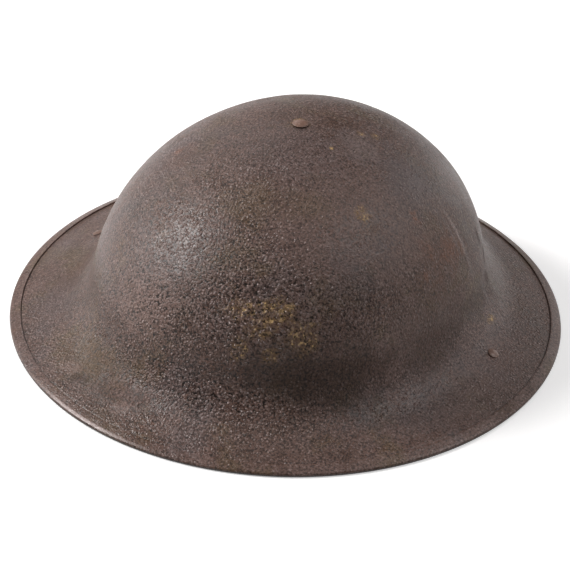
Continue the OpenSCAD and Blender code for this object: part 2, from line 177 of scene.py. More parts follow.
def copyNode(name, node, ease):
    # the CAD node's own shape with its doubles merged and its edges eased
    piece = bpy.data.objects.new(name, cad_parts[node].data.copy())
    scene.collection.objects.link(piece)
    piece.data.materials.clear()
    editAll(piece)
    bpy.ops.mesh.remove_doubles(threshold=0.002 * mm)
    bpy.ops.mesh.dissolve_limited(angle_limit=radians(1))
    bpy.ops.object.mode_set(mode="OBJECT")
    easeEdges(piece, ease, 35)
    smooth(piece, 30)
    return piece


def addBead(segments, rings, *half):
    bead = addObject("bead", bpy.ops.mesh.primitive_uv_sphere_add, segments=segments, ring_count=rings, radius=1)
    bead.data.transform(Matrix.Diagonal((*half, 1)))
    return bead


def copyMany(name, pattern, places):
    # one mesh with a copy of the pattern at each place
    copies = []
    for place in places:
        copy = bpy.data.objects.new(name, pattern.data.copy())
        copy.data.transform(place)
        scene.collection.objects.link(copy)
        copies.append(copy)
    makeActive(copies[0])
    for copy in copies:
        copy.select_set(True)
    bpy.ops.object.join()
    bpy.data.objects.remove(pattern)
    smooth(copies[0])
    return copies[0]


def makeCords(name, paths, radius, closed=False):
    # round cords along lists of points, joined in one mesh
    curve = bpy.data.curves.new(name, "CURVE")
    curve.dimensions = "3D"
    curve.bevel_depth = radius
    curve.bevel_resolution = 1
    curve.use_fill_caps = not closed
    for path in paths:
        spline = curve.splines.new("POLY")
        spline.points.add(len(path) - 1)
        for point, place in zip(spline.points, path):
            point.co = (*place, 1)
        spline.use_cyclic_u = closed
    cord = bpy.data.objects.new(name, curve)
    scene.collection.objects.link(cord)
    makeActive(cord)
    bpy.ops.object.convert(target="MESH")
    smooth(bpy.context.object)
    return bpy.context.object


def finishPiece(piece, slotName, material, *nodes, body="helmet"):
    if not piece.data.materials:
        piece.data.materials.append(material)
    if nodes:
        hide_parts(*nodes)
    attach(piece, body)
    return piece


# Node tools

class Wire:
    # an output of a node; arithmetic with wires adds math nodes to their tree

    def __init__(self, socket):
        self.socket = socket

    def __add__(self, other):
        return calc("ADD", self, other)

    def __sub__(self, other):
        return calc("SUBTRACT", self, other)

    def __rsub__(self, other):
        return calc("SUBTRACT", other, self)

    def __mul__(self, other):
        return calc("MULTIPLY", self, other)

    def __abs__(self):
        return calc("ABSOLUTE", self)


def srgb(red, green, blue):
    parts = [value / 255 for value in (red, green, blue)]
    return tuple(p / 12.92 if p <= 0.04045 else ((p + 0.055) / 1.055) ** 2.4 for p in parts) + (1,)


def setInputs(node, inputs):
    for key, value in inputs.items():
        if isinstance(value, Wire):
            node.id_data.links.new(value.socket, node.inputs[key])
        else:
            node.inputs[key].default_value = value


def addNode(kind, inputs, tree=None, **settings):
    # a node in the tree of its first wire, unless a tree is given; gives its outputs by number and by name
    tree = tree or next(value.socket.id_data for value in inputs.values() if isinstance(value, Wire))
    node = tree.nodes.new(kind)
    for key, value in settings.items():
        setattr(node, key, value)
    setInputs(node, inputs)
    wires = {}
    for number, socket in enumerate(node.outputs):
        wires[number] = Wire(socket)
        wires.setdefault(socket.name, wires[number])
    return wires


def calc(operation, *values, clamp=False):
    return addNode("ShaderNodeMath", dict(enumerate(values)), operation=operation, use_clamp=clamp)[0]


def calcVector(operation, *values):
    return addNode("ShaderNodeVectorMath", dict(enumerate(values)), operation=operation)[0]


def measure(vector):
    return addNode("ShaderNodeVectorMath", {0: vector}, operation="LENGTH")["Value"]


def remap(value, low, high, toLow=0, toHigh=1):
    inputs = {"Value": value, "From Min": low, "From Max": high, "To Min": toLow, "To Max": toHigh}
    return addNode("ShaderNodeMapRange", inputs, interpolation_type="SMOOTHSTEP")["Result"]


def mixColour(factor, first, second, blend="MIX"):
    # a colour is a wire, or its red, green and blue from 0 to 255
    first, second = (value if isinstance(value, Wire) else srgb(*value) for value in (first, second))
    return addNode("ShaderNodeMix", {0: factor, 6: first, 7: second}, data_type="RGBA", blend_type=blend)[2]


def noiseField(vector, scale, detail=3, roughness=0.55):
    inputs = {"Vector": vector, "Scale": scale, "Detail": detail, "Roughness": roughness}
    return addNode("ShaderNodeTexNoise", inputs)[0]


def cracks(vector, scale):
    # distance to the nearest edge between cells
    inputs = {"Vector": vector, "Scale": scale}
    return addNode("ShaderNodeTexVoronoi", inputs, feature="DISTANCE_TO_EDGE")["Distance"]


def makeGroup(name, inputs, outputs, build):
    tree = bpy.data.node_groups.new(name, "ShaderNodeTree")
    kinds = {"Vector": "Vector", "Middle": "Vector", "Size": "Vector", "Colour": "Color"}
    for side, labels in (("INPUT", inputs), ("OUTPUT", outputs)):
        for label in labels.split():
            tree.interface.new_socket(label, in_out=side, socket_type="NodeSocket" + kinds.get(label, "Float"))
    addNode("NodeGroupOutput", build(addNode("NodeGroupInput", {}, tree)))
    return tree


def useGroup(group, **inputs):
    return addNode("ShaderNodeGroup", inputs, node_tree=group)


def startMaterial(name):
    material = bpy.data.materials.new(name)
    material.use_nodes = True
    return material, addNode("ShaderNodeTexCoord", {}, material.node_tree)["Object"]


def setShader(material, inputs):
    setInputs(material.node_tree.nodes["Principled BSDF"], inputs)


def finishMaterial(material, colour, roughness, height, depth):
    bump = addNode("ShaderNodeBump", {"Height": height, "Distance": depth, "Strength": 1})
    setShader(material, {"Base Color": colour, "Roughness": roughness, "Normal": bump["Normal"]})
    return material


# Effects that several materials use

def sandGrainFields(given):
    # sand under paint: scattered grains of uneven size that stand out of a skin like orange peel
    place, thick = given["Vector"], given["Coarseness"]
    sway = addNode("ShaderNodeTexNoise", {"Vector": place, "Scale": 700, "Detail": 2})["Color"]
    shift = calcVector("MULTIPLY", calcVector("SUBTRACT", sway, (0.5, 0.5, 0.5)), [0.9 * mm] * 3)
    moved = calcVector("ADD", place, shift)
    layers = []
    for share, weight in ((1, 1), (1.7, 0.5)):
        cells = addNode("ShaderNodeTexVoronoi", {"Vector": moved, "Scale": given["Grain"] * share})
        luck = addNode("ShaderNodeSeparateColor", {0: cells["Color"]})[0]
        layers.append(remap(cells["Distance"], 0.72, 0.06) * remap(luck, 0.3, 1) * weight)
    grains = calc("MAXIMUM", *layers) * thick
    peel = noiseField(moved, given["Grain"] * 1.2, 3, 0.6)
    return {
        "Height": grains + peel * (thick * 0.2 + 0.2),
        "Tip": remap(grains, 0.3, 0.75),
        # the hollows between grains, a mask that only feeds painted shade
        "Pit": remap(grains + peel * 0.8, 0.5, 0.28) * thick,
    }


def rustBloomFields(given):
    # blotches of rust that break up into fine freckles
    blotch = noiseField(given["Vector"], given["Scale"], 5, 0.62)
    freckle = noiseField(given["Vector"], given["Scale"] * 14, 3, 0.6)
    edge = 0.72 - given["Amount"] * 0.3
    return {
        "Mask": remap(blotch * 0.68 + freckle * 0.32, edge, edge + 0.12),
        "Colour": mixColour(remap(freckle, 0.35, 0.68), (62, 34, 20), (140, 84, 46)),
    }


def raggedSpotFields(given):
    # one ragged spot round a middle, with a half size along each axis; Broken is a noise that frays its edge
    away = calcVector("SUBTRACT", given["Vector"], given["Middle"])
    reach = measure(calcVector("DIVIDE", away, given["Size"]))
    return {"Mask": remap(reach + (given["Broken"] - 0.5) * given["Ragged"], 1.05, 0.25)}


def grimeFields(given):
    # slow cloudy change of tone, from 0 to 1
    cloud = noiseField(given["Vector"], given["Scale"], 6, 0.6)
    return {"Mask": calc("ADD", (cloud - 0.5) * given["Contrast"], 0.5, clamp=True)}


def weaveFields(given):
    # plain weave: U runs along the warp and V along the weft, in thread widths
    cells = calc("FLOOR", given["U"]) + calc("FLOOR", given["V"])
    over = calc("ROUND", calc("PINGPONG", cells, 1))
    warp, weft = (abs(calc("SINE", given[key] * pi)) for key in ("V", "U"))
    return {"Height": addNode("ShaderNodeMix", {0: over, 2: weft, 3: warp})[0]}


def hideFields(given):
    # grain of leather or oilcloth: small cushions parted by creases
    place, scale = given["Vector"], given["Scale"]
    lines = []
    for share, width in ((0.16, 0.012), (0.45, 0.02)):
        folds = noiseField(place, scale * share)
        lines.append(remap(abs(folds - 0.5), width, 0))
    where = remap(noiseField(place, scale * 0.07, 2), 0.46, 0.62)
    crease = calc("MAXIMUM", *lines) * (where * given["Creases"])
    return {"Height": remap(cracks(place, scale), 0, 0.3) * 0.5 - crease, "Crease": crease}


sandGrain = makeGroup("sandGrain", "Vector Grain Coarseness", "Height Tip Pit", sandGrainFields)
rustBloom = makeGroup("rustBloom", "Vector Scale Amount", "Mask Colour", rustBloomFields)
raggedSpot = makeGroup("raggedSpot", "Vector Middle Size Broken Ragged", "Mask", raggedSpotFields)
grime = makeGroup("grime", "Vector Scale Contrast", "Mask", grimeFields)
weave = makeGroup("weave", "U V", "Height", weaveFields)
hide = makeGroup("hide", "Vector Scale Creases", "Height Crease", hideFields)
print("shared effects made")


# Painted steel

shellPaintLook = {
    "paint": (116, 90, 82),
    # a dusty tone, also used for painted sheen
    "dustAndSheen": (134, 109, 101),
    # a darker tone for the slow mottling, also used for painted shade
    "brownAndShade": (85, 60, 47),
    "olive": (104, 84, 53),
    "slate": (104, 89, 88),
    # the darkest tone, for painted shade and shadow, and for specks of dirt
    "pit": (26, 19, 15),
    # a light tone for painted highlights on the grain tips and the band's edge, and for light specks and scratches
    "tip": (186, 168, 164),
    "ochre": (146, 113, 68),
    "speck": (214, 178, 124),
    "orange": (138, 84, 54),
    "rust": (112, 76, 55),
    # a light tone for worn scratches and patches, also used for painted sheen
    "paleWearAndSheen": (128, 114, 112),
    # a dark tone for painted shade in the fillet and at the foot of the bowl, and for a few dark marks
    "dark": (48, 33, 23),
    "grain": 690,
    "grainDepth": 0.56 * mm,
}

# worn places, and places of painted shade and painted sheen: kind, strength, middle and half sizes in millimetres,
# raggedness
wearShadeAndSheenPlaces = [
    ("dustAndSheen", 0.35, (45, -42, 84), (60, 62, 36), 1.6),
    ("slate", 0.35, (-50, -34, 92), (34, 44, 26), 1.6),
    ("slate", 0.4, (8, -24, 108), (46, 40, 18), 1.6),
    # painted sheen where the key lamp's reflection lies on the near left of the bowl
    ("paleWearAndSheen", 0.35, (-26, -94, 73), (38, 24, 24), 2),
    ("brownAndShade", 0.5, (56, -98, 36), (74, 50, 26), 1.4),
    # painted shade in the fillet at the front of the bowl
    ("dark", 0.55, (68, -91, 31), (66, 46, 18), 1.4),
    ("olive", 0.35, (6, -62, 97), (14, 22, 14), 2.4),
    ("olive", 0.3, (30, -52, 97), (16, 14, 10), 2.4),
    ("slate", 0.6, (60, 4, 94), (22, 24, 16), 1.8),
    ("slate", 0.5, (67, -41, 81), (6, 7, 7), 1.4),
    ("matte", 0.4, (112, 10, 66), (46, 110, 64), 0.8),
    # painted shade along the crease at the foot of the bowl on the right
    ("dark", 0.28, (99, 24, 27), (6, 60, 14), 1),
    # painted shade on the lower right of the bowl
    ("brownAndShade", 0.4, (94, -36, 40), (26, 44, 30), 1.6),
    ("ochre", 0.6, (38, -97, 64), (17, 13, 5.5), 3),
    ("ochre", 0.55, (34, -103, 56), (10, 9, 8), 3),
    ("ochre", 0.6, (40, -106, 43), (6, 6, 5), 2.4),
    ("ochre", 0.55, (25, -112, 45), (5, 7, 7), 2.6),
    ("ochre", 0.4, (51, -94, 52), (10, 10, 10), 3),
    ("ochre", 0.4, (22, -104, 62), (11, 9, 6), 3),
    ("speck", 0.6, (32, -98.5, 65), (1.5, 1.5, 1.2), 1.2),
    ("speck", 0.5, (42, -92.6, 64.5), (3, 3, 1.2), 2.4),
    ("speck", 0.5, (35.9, -104, 53), (1.6, 1.6, 1.2), 1.8),
    ("orange", 0.85, (72, -11, 84), (6, 5, 8), 2.4),
    ("orange", 0.6, (88, 2, 65), (7, 18, 14), 3.2),
    ("orange", 0.65, (83, -17, 71), (8, 7, 11), 3),
    ("orange", 0.65, (86, -27, 62), (4, 3, 9), 2.6),
    ("ochre", 0.7, (54, -37, 92), (6, 6, 7), 2.2),
    ("ochre", 0.5, (34, 20, 105), (4, 4, 3), 1.4),
    ("slate", 0.5, (-100, -72, 10), (26, 26, 10), 2.4),
    ("olive", 0.45, (-60, -112, 14), (40, 26, 12), 2.6),
    ("rust", 0.4, (82, -8, 66), (18, 34, 28), 2.4),
    ("rust", 0.25, (-50, -35, 94), (20, 16, 10), 2.4),
    ("orange", 0.6, (-54, -30, 94), (4, 4, 4), 1.6),
    ("ochre", 0.8, (28, 14.6, 107.2), (3.6, 3, 3), 1.2),
    ("speck", 0.9, (22.7, -10.5, 108.8), (1.5, 1.5, 2), 0.6),
    ("ochre", 0.85, (107, 22.1, 16.3), (2.6, 6.5, 4), 1.4),
    ("paleWearAndSheen", 0.6, (90, 15, 58), (16, 2.2, 22), 0.8),
    ("tip", 0.38, (85, 13.6, 67), (15, 2, 21), 0.8),
    ("dustAndSheen", 0.3, (66, 44, 76), (20, 18, 24), 2),
    ("dark", 0.5, (88, 41, 50), (4, 5, 12), 0.8),
    ("dark", 0.55, (90, 49, 37), (4, 6, 9), 0.8),
    ("dark", 0.45, (94, 44, 27), (5, 8, 6), 0.8),
    ("dustAndSheen", 0.3, (124, -20, 9), (14, 60, 8), 2),
    ("paleWearAndSheen", 0.45, (84, 8, 68), (12, 1.8, 16), 0.8),
    ("paleWearAndSheen", 0.7, (99, 32, 24), (5, 2.2, 14), 0.7),
    ("paleWearAndSheen", 0.5, (92, 60, 28), (9, 2.6, 15), 0.7),
    ("dustAndSheen", 0.6, (-25, -137, 8), (8, 5, 5), 2.6),
    ("dustAndSheen", 0.5, (-64, -119, 8), (9, 6, 5), 2.6),
    ("dark", 0.45, (-56, -126, 8), (8, 5, 5), 3),
    ("paleWearAndSheen", 0.45, (32, 4, 106), (20, 22, 10), 2),
    # painted shadow below the bowl on the lower right
    ("dark", 0.32, (97, -28, 28), (20, 46, 17), 1.2),
    ("matte", 0.4, (-48, -116, 14), (28, 22, 9), 1),
    ("matte", 0.5, (-29, -129, 10), (30, 14, 7), 1),
    ("matte", 0.4, (-104, -40, 17), (16, 48, 13), 1),
    # painted shade at the foot of the bowl on the left
    ("brownAndShade", 0.45, (-104, -40, 17), (12, 44, 11), 1.4),
    ("brownAndShade", 0.4, (-76, -78, 32), (18, 20, 20), 1.6),
    ("brownAndShade", 0.4, (-98, -44, 38), (12, 56, 32), 1.6),
    ("matte", 0.35, (-98, -44, 38), (12, 56, 32), 1),
    ("brownAndShade", 0.4, (89, 64, 20), (12, 34, 12), 1.2),
    # painted sheen, where the key lamp's reflection spreads down the near left of the bowl
    ("dustAndSheen", 0.75, (-28, -108, 50), (28, 22, 22), 2.2),
    ("paleWearAndSheen", 0.3, (-132, -16, 5), (12, 30, 8), 2),
    ("dustAndSheen", 0.35, (74, -32, 76), (18, 30, 20), 2),
    ("ochre", 0.8, (-1, 1, 111.5), (6.4, 6.4, 2.4), 1.6),
    # painted shadow below the crown rivet
    ("pit", 0.85, (1.2, -2.4, 111.5), (5, 4.8, 2.4), 0.4),
]


# painted shade darkens the underside of the band's fold, and a painted highlight runs along the fold's edge at the
# near left, where the paint is also worn
bandPlaces = [
    ("pit", 0.9, (0, 0, 0), (1500, 1500, 2), 0.3),
    ("tip", 0.9, (-42, -146, 2.3), (54, 20, 0.5), 0.4),
]

# sand and paint fill the step at the rim band along the near end
nearEndFill = {
    "lean": 0.3,
    "start": 85 * mm,
    "fade": 25 * mm,
    "inner": 0.955,             # shares of the way out to the band's edge
    "outer": 1.004,
    "depth": 0.68 * mm,
}


def makeShellPaint(name, grainSize, spots, look, least=0.88, most=1.35, roughness=0.38, groove=None):
    material, place = startMaterial(name)
    axes = addNode("ShaderNodeSeparateXYZ", {0: place})
    # the sand stands thickest over the near end and is rubbed down elsewhere
    drift = noiseField(place, 24, 4) - 0.5
    near = axes["X"] * -0.15 + axes["Y"] * -1
    thick = remap(near + drift * 0.12, 0.05, 0.09, least, most) * remap(axes["Z"], 0.006, 0.022, 0.55, 1)
    grain = useGroup(sandGrain, Vector=place, Grain=grainSize, Coarseness=thick)
    slow = useGroup(grime, Vector=place, Scale=15, Contrast=3)["Mask"]
    quick = useGroup(grime, Vector=place, Scale=85, Contrast=2.6)["Mask"]
    wash = remap(noiseField(place, 36, 5, 0.65), 0.5, 0.66)
    haze = remap(noiseField(place, 27, 5, 0.65), 0.52, 0.66)
    rust = useGroup(rustBloom, Vector=place, Scale=24, Amount=0.42)
    # fine specks of dust and dirt lie on all of it
    speckle = noiseField(place, 880, 3, 0.6)
    colour = mixColour(slow, look["brownAndShade"], look["paint"])
    for share, tone in ((quick * 0.5, look["dustAndSheen"]), (wash * 0.5, look["olive"]), (haze * 0.5, look["slate"]),
                        (rust["Mask"] * 0.35, rust["Colour"]), (remap(speckle, 0.52, 0.36) * 0.7, look["pit"]),
                        (remap(speckle, 0.56, 0.7) * 0.4, look["tip"])):
        colour = mixColour(share, colour, tone)
    broken = noiseField(place, 130, 3) * 0.6 + noiseField(place, 620, 3) * 0.4
    # ochre dust lies broken up, with a few bright grains in it
    dusting = remap(noiseField(place, 360, 4, 0.65), 0.42, 0.62, 0.2, 1)
    sparse = remap(noiseField(place, 520, 3, 0.6), 0.52, 0.6)
    matte = 0
    for kind, strength, middle, size, ragged in spots:
        middle, size = ([value * mm for value in values] for values in (middle, size))
        spot = useGroup(raggedSpot, Vector=place, Middle=middle, Size=size, Broken=broken, Ragged=ragged)["Mask"]
        if kind in ("ochre", "orange"):
            spot = spot * dusting
        if kind in ("dark", "matte"):
            matte = calc("MAXIMUM", matte, spot * strength)
        if kind != "matte":
            colour = mixColour(spot * strength, colour, look[kind])
        if kind == "ochre":
            colour = mixColour(spot * sparse, colour, look["speck"])
    # painted shade darkens the hollows between grains, and a painted highlight lightens the grain tips
    colour = mixColour(grain["Pit"] * 0.85, colour, look["pit"])
    colour = mixColour(grain["Tip"] * 0.1, colour, look["tip"])
    if groove:
        # painted shade darkens the edge of the rim band's step, and fades out at the near end, where paint has filled
        # the step
        level = calcVector("MULTIPLY", calcVector("DIVIDE", place, (*groove, 1)), (1, 1, 0))
        grooveShade = remap(abs(measure(level) - 1), 0.005, 0.001)
        clear = remap(axes["X"] * nearEndFill["lean"] - axes["Y"], 0.11, 0.085, 0.05, 0.5)
        colour = mixColour(grooveShade * clear, colour, look["pit"])
    rough = quick * 0.16 + (roughness - 0.08) - grain["Tip"] * 0.08 + matte * 0.6
    return finishMaterial(material, colour, rough, grain["Height"], look["grainDepth"])


def startClouded(name, scale, contrast, dark, light):
    # a material whose colour drifts between two tones: itself, place, drift and colour
    material, place = startMaterial(name)
    cloud = useGroup(grime, Vector=place, Scale=scale, Contrast=contrast)["Mask"]
    return material, place, cloud, mixColour(cloud, dark, light)


def makePlainPaint(name, base, dark, wear, rustAmount, roughness=0.6):
    material, place, _, colour = startClouded(name, 28, 2.2, dark, base)
    fine = noiseField(place, 900, 4)
    rust = useGroup(rustBloom, Vector=place, Scale=60, Amount=rustAmount)
    colour = mixColour(remap(fine, 0.55, 0.75) * 0.5, colour, wear)
    colour = mixColour(rust["Mask"], colour, rust["Colour"])
    return finishMaterial(material, colour, fine * 0.2 + (roughness - 0.1), fine, 0.08 * mm)


insidePaint = makePlainPaint("insidePaint", (92, 82, 66), (66, 58, 47), (110, 98, 80), 0.5)
bandPaint = makeShellPaint("bandPaint", 900, bandPlaces, shellPaintLook, 0.12, 0.5, 0.34)
rivetPaint = makePlainPaint("rivetPaint", (146, 116, 103), (98, 74, 62), (222, 190, 176), 0.6, 0.36)
bareSteel = makePlainPaint("bareSteel", (120, 114, 106), (88, 82, 74), (150, 144, 136), 0.4, 0.45)


# Shell

shellSizes = {
    "bowlHalf": (100 * mm, 120 * mm),
    "bowlBase": 22 * mm,
    "domeSweep": 82,            # degrees of the curve, from the crown down
    "footHeight": 16 * mm,
    "footShare": 0.45,
    "wall": 0.9 * mm,
    "around": 288,
    "domeRings": 48,
    "footRings": 16,
    "brimRings": 12,
    "unevenness": 0.35 * mm,
    "sideRivet": (117.5 * mm, 11 * mm),   # out and up
    "evenRound": 25 * mm,       # the steel is even this near to a rivet
}
bandSizes = {
    "width": 6.4 * mm,
    "strip": 0.7 * mm,
    "play": 0.05 * mm,
    "restFlat": 1.2 * mm,
    "foldRings": 9,
    "legRings": 4,
    "waviness": 0.25 * mm,
}
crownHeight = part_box("shell")[1].z
bowlRise = crownHeight - shellSizes["bowlBase"]
foldRadius = shellSizes["wall"] / 2 + bandSizes["play"] + bandSizes["strip"]
foldHeight = sqrt(foldRadius ** 2 - bandSizes["restFlat"] ** 2 / 4)
foldHalf = [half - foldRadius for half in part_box("rim_band")[1].xy]


def bowlRing(sizes, angle):
    share, top = sin(radians(angle)), cos(radians(angle))
    return Vector((*(half * share for half in sizes["bowlHalf"]), sizes["bowlBase"] + bowlRise * top))


def footRing(sizes):
    # where the bowl's wall and the brim would meet
    end = bowlRing(sizes, sizes["domeSweep"])
    drop = (end.z - sizes["footHeight"]) * (1 / tan(radians(sizes["domeSweep"])) / bowlRise)
    return Vector((*(near + half * drop for near, half in zip(end, sizes["bowlHalf"])), sizes["footHeight"]))


def brimRing(sizes, out, up):
    # out from the fold's middle along the brim, and up square to it
    foot = footRing(sizes)
    slopes = [atan((foot.z - foldHeight) / (fold - near)) for fold, near in zip(foldHalf, foot)]
    fall = sum(sin(slope) for slope in slopes) / 2
    reach = [fold + out * cos(slope) + up * sin(slope) for fold, slope in zip(foldHalf, slopes)]
    return Vector((*reach, foldHeight - out * fall + up * sqrt(1 - fall * fall)))


def shellRings(sizes, bandLeg):
    rings = [bowlRing(sizes, sizes["domeSweep"] * (i + 1) / sizes["domeRings"]) for i in range(sizes["domeRings"])]
    start, foot, edge = rings[-1], footRing(sizes), brimRing(sizes, 0, sizes["wall"] / 2)
    footEnd = foot.lerp(edge, sizes["footShare"])
    for i in range(1, sizes["footRings"] + 1):
        share = i / sizes["footRings"]
        rings.append(start.lerp(foot, share).lerp(foot.lerp(footEnd, share), share))
    bandStart = brimRing(sizes, -bandLeg, sizes["wall"] / 2)
    rings += [footEnd.lerp(bandStart, i / sizes["brimRings"]) for i in range(1, sizes["brimRings"] + 1)]
    return rings + [brimRing(sizes, -bandLeg * (1 - share), sizes["wall"] / 2) for share in (0.35, 0.7, 1)]


def makeShell(sizes, bandLeg, fill):
    shell = loftRings("steelShell", shellRings(sizes, bandLeg), sizes["around"], capped=True)
    for vertex in shell.data.vertices:
        if vertex.co.xy.length < 0.1 * mm:
            vertex.co.z = crownHeight
    faceUp(shell, lambda centre: centre.z > 0.9 * crownHeight)
    edge = brimRing(sizes, -bandLeg, 0)
    for vertex in shell.data.vertices:
        reach = hypot(vertex.co.x / edge.x, vertex.co.y / edge.y)
        filled = limit((fill["lean"] * vertex.co.x - vertex.co.y - fill["start"]) / fill["fade"])
        if fill["inner"] < reach < fill["outer"]:
            vertex.co.z += fill["depth"] * filled * (reach - fill["inner"]) / (fill["outer"] - fill["inner"])
    # the pressing is a little uneven, but not at the rim or the rivets
    aside, height = sizes["sideRivet"]
    rivets = [Vector(place) for place in ((0, 0, crownHeight), (aside, 0, height), (-aside, 0, height))]
    outward = [vertex.normal.copy() for vertex in shell.data.vertices]
    for vertex, normal in zip(shell.data.vertices, outward):
        room = limit((vertex.co.z - 4 * mm) / (14 * mm))
        room *= limit(min((vertex.co - rivet).length for rivet in rivets) / sizes["evenRound"])
        slow = noise.noise(vertex.co * 19) + 0.35 * noise.noise(vertex.co * 75)
        vertex.co += normal * slow * room * sizes["unevenness"]
    shell.data.materials.append(shellPaint)
    shell.data.materials.append(insidePaint)
    addModifier(shell, "SOLIDIFY", thickness=sizes["wall"], offset=-1, material_offset=1, material_offset_rim=1)
    smooth(shell, 50)
    return shell


def makeRimBand(sizes, steel):
    leg, count = sizes["width"] - foldRadius, sizes["legRings"]
    rings = [brimRing(steel, -leg * (1 - i / count), foldRadius) for i in range(count)]
    for i in range(sizes["foldRings"]):
        angle = pi / 2 - pi * i / (sizes["foldRings"] - 1)
        rings.append(brimRing(steel, foldRadius * cos(angle), foldRadius * sin(angle)))
    rings += [brimRing(steel, -leg * i / count, -foldRadius) for i in range(1, count + 1)]
    band = loftRings("rimBand", [Vector((r.x, r.y, max(r.z, 0.02 * mm))) for r in rings], steel["around"])
    faceUp(band, lambda centre: centre.z > foldHeight + foldRadius)
    # the folded lip wanders a little
    middle = Vector(foldHalf)
    for vertex in band.data.vertices:
        inward = 1 - (vertex.co.x / middle.x) ** 2 - (vertex.co.y / middle.y) ** 2
        wander = noise.noise(vertex.co * 30) + 0.5 * noise.noise(vertex.co * 120)
        vertex.co.xy *= 1 - wander * sizes["waviness"] * limit(inward / 0.04) / vertex.co.xy.length
    addModifier(band, "SOLIDIFY", thickness=sizes["strip"], offset=-1)
    easeEdges(band, 0.18 * mm, 50)
    smooth(band, 40)
    return band


bandEdge = brimRing(shellSizes, foldRadius - bandSizes["width"], shellSizes["wall"] / 2)
shellPaint = makeShellPaint("shellPaint", shellPaintLook["grain"], wearShadeAndSheenPlaces, shellPaintLook, groove=bandEdge.xy)
steelShell = makeShell(shellSizes, bandSizes["width"] - foldRadius, nearEndFill)
finishPiece(steelShell, "shell_paint", shellPaint, "shell")
finishPiece(makeRimBand(bandSizes, shellSizes), "band_paint", bandPaint, "rim_band")
print("shell and rim band made")


# Liner: felt pad, crossed canvas straps, head band, rubber buffers, net and drawstring

def makeFelt():
    material, place, _, colour = startClouded("felt", 70, 1.6, (98, 92, 78), (146, 138, 118))
    hair = noiseField(place, 1900, 5, 0.7)
    colour = mixColour(remap(hair, 0.35, 0.7), colour, (166, 158, 138), "MULTIPLY")
    setShader(material, {"Sheen Weight": 0.25})
    return finishMaterial(material, colour, 0.95, hair, 0.5 * mm)


def makeCanvas():
    material, place, _, colour = startClouded("canvas", 40, 2.2, (112, 98, 70), (178, 164, 132))
    axes = addNode("ShaderNodeSeparateXYZ", {0: addNode("ShaderNodeUVMap", {}, material.node_tree)[0]})
    cloth = useGroup(weave, U=axes["X"] * 300, V=axes["Y"] * 26)["Height"]
    # painted shade in the grooves between the threads
    colour = mixColour(remap(cloth, 0.45, 0.05) * 0.7, colour, (70, 58, 40))
    return finishMaterial(material, colour, 0.92, cloth + noiseField(place, 2400) * 0.4, 0.3 * mm)


def makeHideMaterial(name, light, dark, crackColour, scale, creases, roughness, depth):
    material, place, cloud, colour = startClouded(name, 45, 2.2, dark, light)
    grain = useGroup(hide, Vector=place, Scale=scale, Creases=creases)
    edges = addNode("ShaderNodeNewGeometry", {}, material.node_tree)["Pointiness"]
    colour = mixColour(grain["Crease"] * 0.8, colour, crackColour)
    colour = mixColour(remap(edges, 0.52, 0.6) * 0.6, colour, dark)
    return finishMaterial(material, colour, cloud * 0.16 + (roughness - 0.08), grain["Height"], depth)


def makeRubber():
    material, place, _, colour = startClouded("rubber", 90, 2, (62, 36, 30), (104, 66, 54))
    bloom = remap(noiseField(place, 420, 4, 0.7), 0.56, 0.72)
    colour = mixColour(bloom * 0.5, colour, (150, 126, 110))
    height = remap(cracks(place, 330), 0, 0.06) + bloom
    return finishMaterial(material, colour, bloom * 0.3 + 0.55, height, 0.12 * mm)


def makeTwine(name, light, dark):
    material, place, _, colour = startClouded(name, 120, 2, dark, light)
    fibre = noiseField(place, 2600, 4, 0.7)
    colour = mixColour(remap(fibre, 0.55, 0.3) * 0.6, colour, dark)
    return finishMaterial(material, colour, 0.9, fibre, 0.35 * mm)


feltCloth = makeFelt()
canvas = makeCanvas()
oilcloth = makeHideMaterial("oilcloth", (58, 55, 52), (30, 29, 28), (82, 74, 64), 700, 0.7, 0.45, 0.16 * mm)
rubber = makeRubber()
twine = makeTwine("twine", (168, 150, 116), (96, 80, 56))
drawcord = makeTwine("drawcord", (186, 172, 142), (118, 102, 76))
thread = makeTwine("thread", (150, 138, 112), (92, 80, 60))

linerSizes = {
    "lean": 9,                  # degrees towards the crown
    "bandThick": 3.04 * mm,
    "seam": 3.3 * mm,           # from a hem to its row of stitches
    "stitch": 2.5 * mm,
    "stitchPitch": 4 * mm,
    "padHole": 2.45 * mm,
    "strapWidth": 25 * mm,
    "strapThick": 1.5 * mm,
    "strapStep": 1.8 * mm,
    "strapLap": 14 * mm,        # sewn down outside the head band
    "seatGap": 0.3 * mm,
}
bandLow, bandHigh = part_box("head_band")
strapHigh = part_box("crown_straps")[1]
strapBase = bandHigh.z + linerSizes["seatGap"]
strapRise = strapHigh.z - strapBase


def bandHalf(z, inset=0):
    # half axes of the head band's face at a height
    shrink = (z - bandLow.z) * tan(radians(linerSizes["lean"])) + inset
    return Vector((bandHigh.x - shrink, bandHigh.y - shrink))


def domeRise(x, y, half, rise):
    return rise * sqrt(max(0, 1 - (x / half[0]) ** 2 - (y / half[1]) ** 2))


